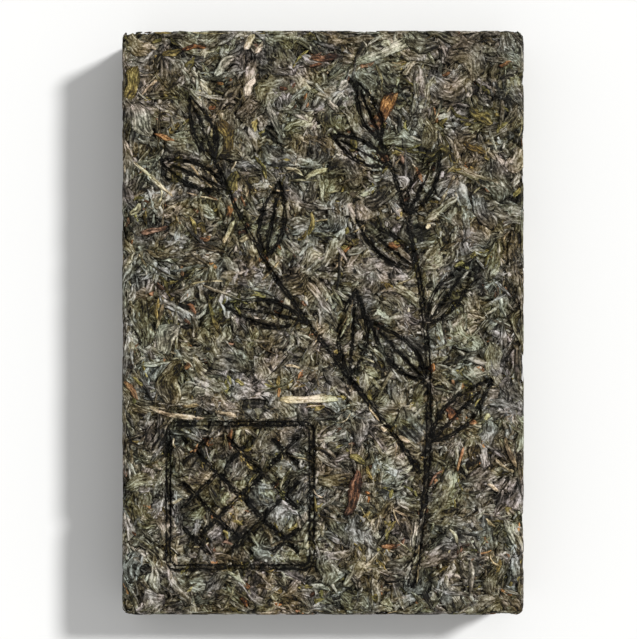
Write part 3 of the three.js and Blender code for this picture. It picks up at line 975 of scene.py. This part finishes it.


# Olive leaves: younger leaves that were dried in the shade and kept a yellow green, most of them small
# and torn. The ones that stand out in the photo are laid one by one.
olive_cool = [
    (0.0, (0.012, 0.011, 0.003)),
    (0.3, (0.050, 0.046, 0.013)),
    (0.6, (0.150, 0.135, 0.038)),
    (1.0, (0.42, 0.39, 0.16)),
]
olive_warm = [
    (0.0, (0.014, 0.010, 0.003)),
    (0.3, (0.065, 0.048, 0.013)),
    (0.6, (0.190, 0.145, 0.036)),
    (1.0, (0.50, 0.41, 0.14)),
]
olive_shapes = leaf_shapes(
    range(60, 68), length=(0.006, 0.014), width=(0.0012, 0.0042), rows=8, columns=4,
    crown=0.0005, folds=1.2, twist=0.7, fold_height=0.0002, blunt=0.5, bend=0.002,
)
olive_leaves = pressed_leaves(
    "olive_leaves",
    olive_shapes,
    spread_sizes(
        densities=(7500.0, 2500.0, 3500.0), sizes=(0.5, 1.1), heights=(-0.0012, 0.0),
        tones=(0.25, 0.75), wander=1.0, tilt=0.05, seed=31,
        material=leaf_material("olive_leaf", olive_cool, olive_warm),
    ),
    {"Weave": 0.0013, "Weave scale": 170.0, "Ragged": 0.0020, "Wrinkle": 0.0004, "Wrinkle pitch": 1.2},
    laid=[
        (-78, 98, 15, 6, 75, 0.4),
        (65, 85, 12, 5, -38, 0.3),
        (62, 71.5, 11, 3.2, -28, 0.35),
        (47, 69, 11, 5.5, 10, 0.22),
        (12.5, 73, 6, 3, 80, 0.5),
        (-62, 110.5, 9, 3, 15, 0.45),
        (-40, 76.5, 15, 6, -75, 0.35),
        (-59.5, 62.5, 12, 5, 80, 0.25),
        (-37.5, 57.5, 11, 5, 70, 0.45),
        (-25.5, 63.5, 11, 1.7, -65, 0.5),
        (14, -56, 8, 3, -30, 0.6),
        (-34, -24, 5, 2, -30, 0.6),
        (-76, -24, 6, 1.7, -40, 0.6),
        (-44, 2.5, 15, 2, -70, 0.4),
    ],
)
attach(olive_leaves, "root")


# Russet leaves: old leaves from low on the bush that browned before they were picked, and broken bits of
# them. The ones that stand out in the photo are laid one by one.
russet_cool = [
    (0.0, (0.012, 0.007, 0.004)),
    (0.3, (0.050, 0.030, 0.018)),
    (0.6, (0.150, 0.090, 0.055)),
    (1.0, (0.38, 0.26, 0.18)),
]
russet_warm = [
    (0.0, (0.018, 0.007, 0.002)),
    (0.3, (0.085, 0.036, 0.010)),
    (0.6, (0.27, 0.120, 0.030)),
    (1.0, (0.60, 0.34, 0.12)),
]
russet_shapes = leaf_shapes(
    range(80, 88), length=(0.004, 0.011), width=(0.0010, 0.0032), rows=7, columns=3,
    crown=0.0004, folds=1.2, twist=0.7, fold_height=0.0002, blunt=0.45, bend=0.0015,
)
russet_leaves = pressed_leaves(
    "russet_leaves",
    russet_shapes,
    spread_sizes(
        densities=(5500.0, 2500.0, 3000.0), sizes=(0.5, 1.1), heights=(-0.0011, 0.0),
        tones=(0.25, 0.75), wander=1.0, tilt=0.05, seed=47,
        material=leaf_material("russet_leaf", russet_cool, russet_warm, warmth=0.5),
    ),
    {"Weave": 0.0012, "Weave scale": 170.0, "Ragged": 0.0018, "Wrinkle": 0.0004, "Wrinkle pitch": 1.2},
    laid=[
        (25, 86, 20, 6, 54, 0.45),
        (11.5, -69.5, 20, 5, 75, 0.3),
        (74.5, 106, 6, 1.7, 20, 0.65),
        (-3, 105.5, 6, 1.7, 10, 0.5),
        (1, 108.5, 12, 3.2, 5, 0.35),
        (-65, 76, 10, 2, -17, 0.6),
        (-53, 112.5, 11, 2, 8, 0.4),
        (-55.5, -18, 3, 2.5, 20, 0.65),
        (-55.5, 0.5, 4, 1.4, -45, 0.65),
        (-37.5, -48, 9, 1.6, 85, 0.55),
        (-79, -27.5, 11, 2.5, -50, 0.5),
        (-69.5, 38.5, 12, 2.5, 12, 0.5),
        (56.5, -56, 11, 1.3, 75, 0.65),
        (53, -37, 8, 4, -50, 0.45),
        (25.5, 67.5, 4, 3, 60, 0.7),
        (-42, 98, 3, 1.6, -20, 0.65),
        (-45.5, 88, 3.5, 1.6, 25, 0.65),
        (-16, 96, 4, 1.7, -20, 0.45),
    ],
)
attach(russet_leaves, "root")


# Silver buds: unopened tips whose down dried to a pale grey, often in small clusters of pale curled
# strips. The palest patches of the photo are laid one by one.
silver_cool = [
    (0.0, (0.030, 0.030, 0.020)),
    (0.3, (0.120, 0.118, 0.085)),
    (0.6, (0.33, 0.325, 0.255)),
    (1.0, (0.74, 0.73, 0.62)),
]
silver_warm = [
    (0.0, (0.032, 0.029, 0.016)),
    (0.3, (0.136, 0.126, 0.075)),
    (0.6, (0.37, 0.35, 0.235)),
    (1.0, (0.78, 0.75, 0.58)),
]
silver_shapes = leaf_shapes(
    range(100, 110), length=(0.006, 0.014), width=(0.0010, 0.0024), rows=8, columns=3,
    crown=0.0004, folds=1.2, twist=0.9, fold_height=0.0002, bend=0.0012,
)
silver_buds = pressed_leaves(
    "silver_buds",
    silver_shapes,
    spread_sizes(
        densities=(8500.0, 3500.0, 5000.0), sizes=(0.6, 1.3), heights=(-0.0011, 0.0),
        tones=(0.1, 0.6), wander=0.8, tilt=0.05, seed=53,
        material=leaf_material("silver_bud", silver_cool, silver_warm, warmth=0.4),
    ),
    {"Weave": 0.0012, "Weave scale": 150.0, "Ragged": 0.0014, "Wrinkle": 0.0003, "Wrinkle pitch": 1.0},
    laid=[
        (27, 111, 30, 4.5, 21, 0.5),
        (8, 97.5, 6, 3.5, 40, 0.55),
        (4, 89, 8, 2.5, -50, 0.6),
        (6, 92, 7, 2.5, 40, 0.6),
        (60, 94.5, 5, 2.4, 80, 0.65),
        (-74.5, 83, 16, 8, -60, 0.35),
        (-30, 96.5, 9, 3.5, 65, 0.75),
        (-40.5, 105, 12, 4, 45, 0.55),
        (-19.5, 84, 16, 3.2, -70, 0.4),
        (-63.5, -6.5, 14, 9, 60, 0.22),
        (-51, -28.5, 6, 5, 20, 0.35),
        (37.5, -86.5, 12, 3.2, 85, 0.4),
        (76, -85.5, 12, 2.5, -70, 0.45),
        (60, -104, 14, 2.5, 90, 0.35),
    ],
)
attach(silver_buds, "root")


# Pale stems: bits of leaf stalk and twig, round and stiff, dried to cream and straw and pressed in among
# the leaves. The long ones that the photo shows are laid one by one.
stem_cool = [
    (0.0, (0.060, 0.050, 0.028)),
    (0.35, (0.26, 0.225, 0.135)),
    (0.65, (0.56, 0.51, 0.35)),
    (1.0, (0.86, 0.83, 0.68)),
]
stem_warm = [
    (0.0, (0.048, 0.036, 0.014)),
    (0.35, (0.21, 0.170, 0.075)),
    (0.65, (0.46, 0.40, 0.20)),
    (1.0, (0.76, 0.70, 0.44)),
]
stem_shapes = leaf_shapes(
    range(120, 130), length=(0.008, 0.020), width=(0.0008, 0.0016), rows=9, columns=3,
    crown=0.0007, blunt=0.16, bend=0.0025,
)
pale_stems = pressed_leaves(
    "pale_stems",
    stem_shapes,
    spread_sizes(
        densities=(3200.0, 2000.0, 2500.0), sizes=(0.5, 1.2), heights=(-0.0010, 0.0),
        tones=(0.15, 0.6), wander=1.2, tilt=0.05, seed=61,
        material=leaf_material("pale_stem", stem_cool, stem_warm, warmth=0.6),
    ),
    {"Weave": 0.0009, "Weave scale": 120.0, "Ragged": 0.0010, "Wrinkle": 0.0001, "Wrinkle pitch": 1.0},
    laid=[
        (-6, -32, 25, 3.6, 1, 0.75),
        (-60, -36.5, 24, 2.1, -12, 0.45),
        (-54.5, -34, 8, 1.6, 0, 0.6),
        (-40, -37.5, 10, 2, -15, 0.5),
        (-67, 1.5, 14, 1.5, 75, 0.4),
        (-70, 59, 23, 1.7, -41, 0.55),
        (-12.5, -18, 7, 1.2, -10, 0.7),
        (-30, 115, 8, 3, 55, 0.6),
        (-26.5, 112.5, 5, 2, 50, 0.65),
        (-12, 62, 9, 1.7, -25, 0.6),
        (-3, 61, 11, 2.5, 25, 0.55),
        (-31.5, 35.5, 8, 2.5, 35, 0.4),
        (-38.5, 37, 11, 2, 65, 0.45),
        (33.5, -47.5, 6, 2, -25, 0.65),
        (25, -43.5, 3.5, 2.2, -10, 0.7),
        (67, -38.5, 3.5, 2.4, 40, 0.6),
        (69.5, -67.5, 6, 1.6, -30, 0.75),
        (77, -53, 14, 2, -70, 0.4),
        (53.5, -87.5, 8, 1.6, -60, 0.5),
        (21, -36.5, 9, 1.2, -60, 0.4),
        (43, 39.5, 2.5, 2, 30, 0.8),
        (50.5, 54.5, 14, 1.5, 62, 0.35),
        (53.5, 64.5, 9, 1.2, 50, 0.3),
        (68.5, -82, 6, 1.6, -40, 0.55),
        (-77, 46.5, 7, 3, 50, 0.35),
    ],
    blunt=0.25,
)
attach(pale_stems, "root")


# The studio: a plain pale floor, a soft light from the upper right and an even white surround. It is only
# there for the picture, and isn't a piece of the brick.
floor_reach = 3.0
floor_colour, floor_roughness = (0.82, 0.82, 0.81), 0.9
sun_azimuth, sun_elevation = math.radians(28), math.radians(40)
sun_strength, sun_spread = 3.35, math.radians(9)
surround_strength = 0.55


def plain_material(name, colour, roughness):
    material = bpy.data.materials.new(name)
    material.use_nodes = True
    shader = material.node_tree.nodes["Principled BSDF"]
    shader.inputs["Base Color"].default_value = (*colour, 1)
    shader.inputs["Roughness"].default_value = roughness
    return material


floor_mesh = bpy.data.meshes.new("floor")
floor_corners = [(x * floor_reach, y * floor_reach, 0) for x, y in ((-1, -1), (1, -1), (1, 1), (-1, 1))]
floor_mesh.from_pydata(floor_corners, [], [(0, 1, 2, 3)])
floor_mesh.materials.append(plain_material("floor", floor_colour, floor_roughness))
floor = new_object("floor", floor_mesh)

sun = bpy.data.objects.new("key_light", bpy.data.lights.new("key_light", "SUN"))
sun.data.energy = sun_strength
sun.data.angle = sun_spread
towards = Vector((
    math.cos(sun_azimuth) * math.cos(sun_elevation),
    math.sin(sun_azimuth) * math.cos(sun_elevation),
    math.sin(sun_elevation),
))
sun.rotation_mode = "QUATERNION"
sun.rotation_quaternion = towards.to_track_quat("Z", "Y")
bpy.context.scene.collection.objects.link(sun)

world = bpy.data.worlds.new("surround")
world.use_nodes = True
world.node_tree.nodes["Background"].inputs["Color"].default_value = (1, 1, 1, 1)
world.node_tree.nodes["Background"].inputs["Strength"].default_value = surround_strength
bpy.context.scene.world = world
bpy.context.scene.view_settings.view_transform = "Standard"

# The mould and its raised lines have done their work and leave the scene.
for helper in (mould, raised_lines):
    bpy.data.objects.remove(helper)
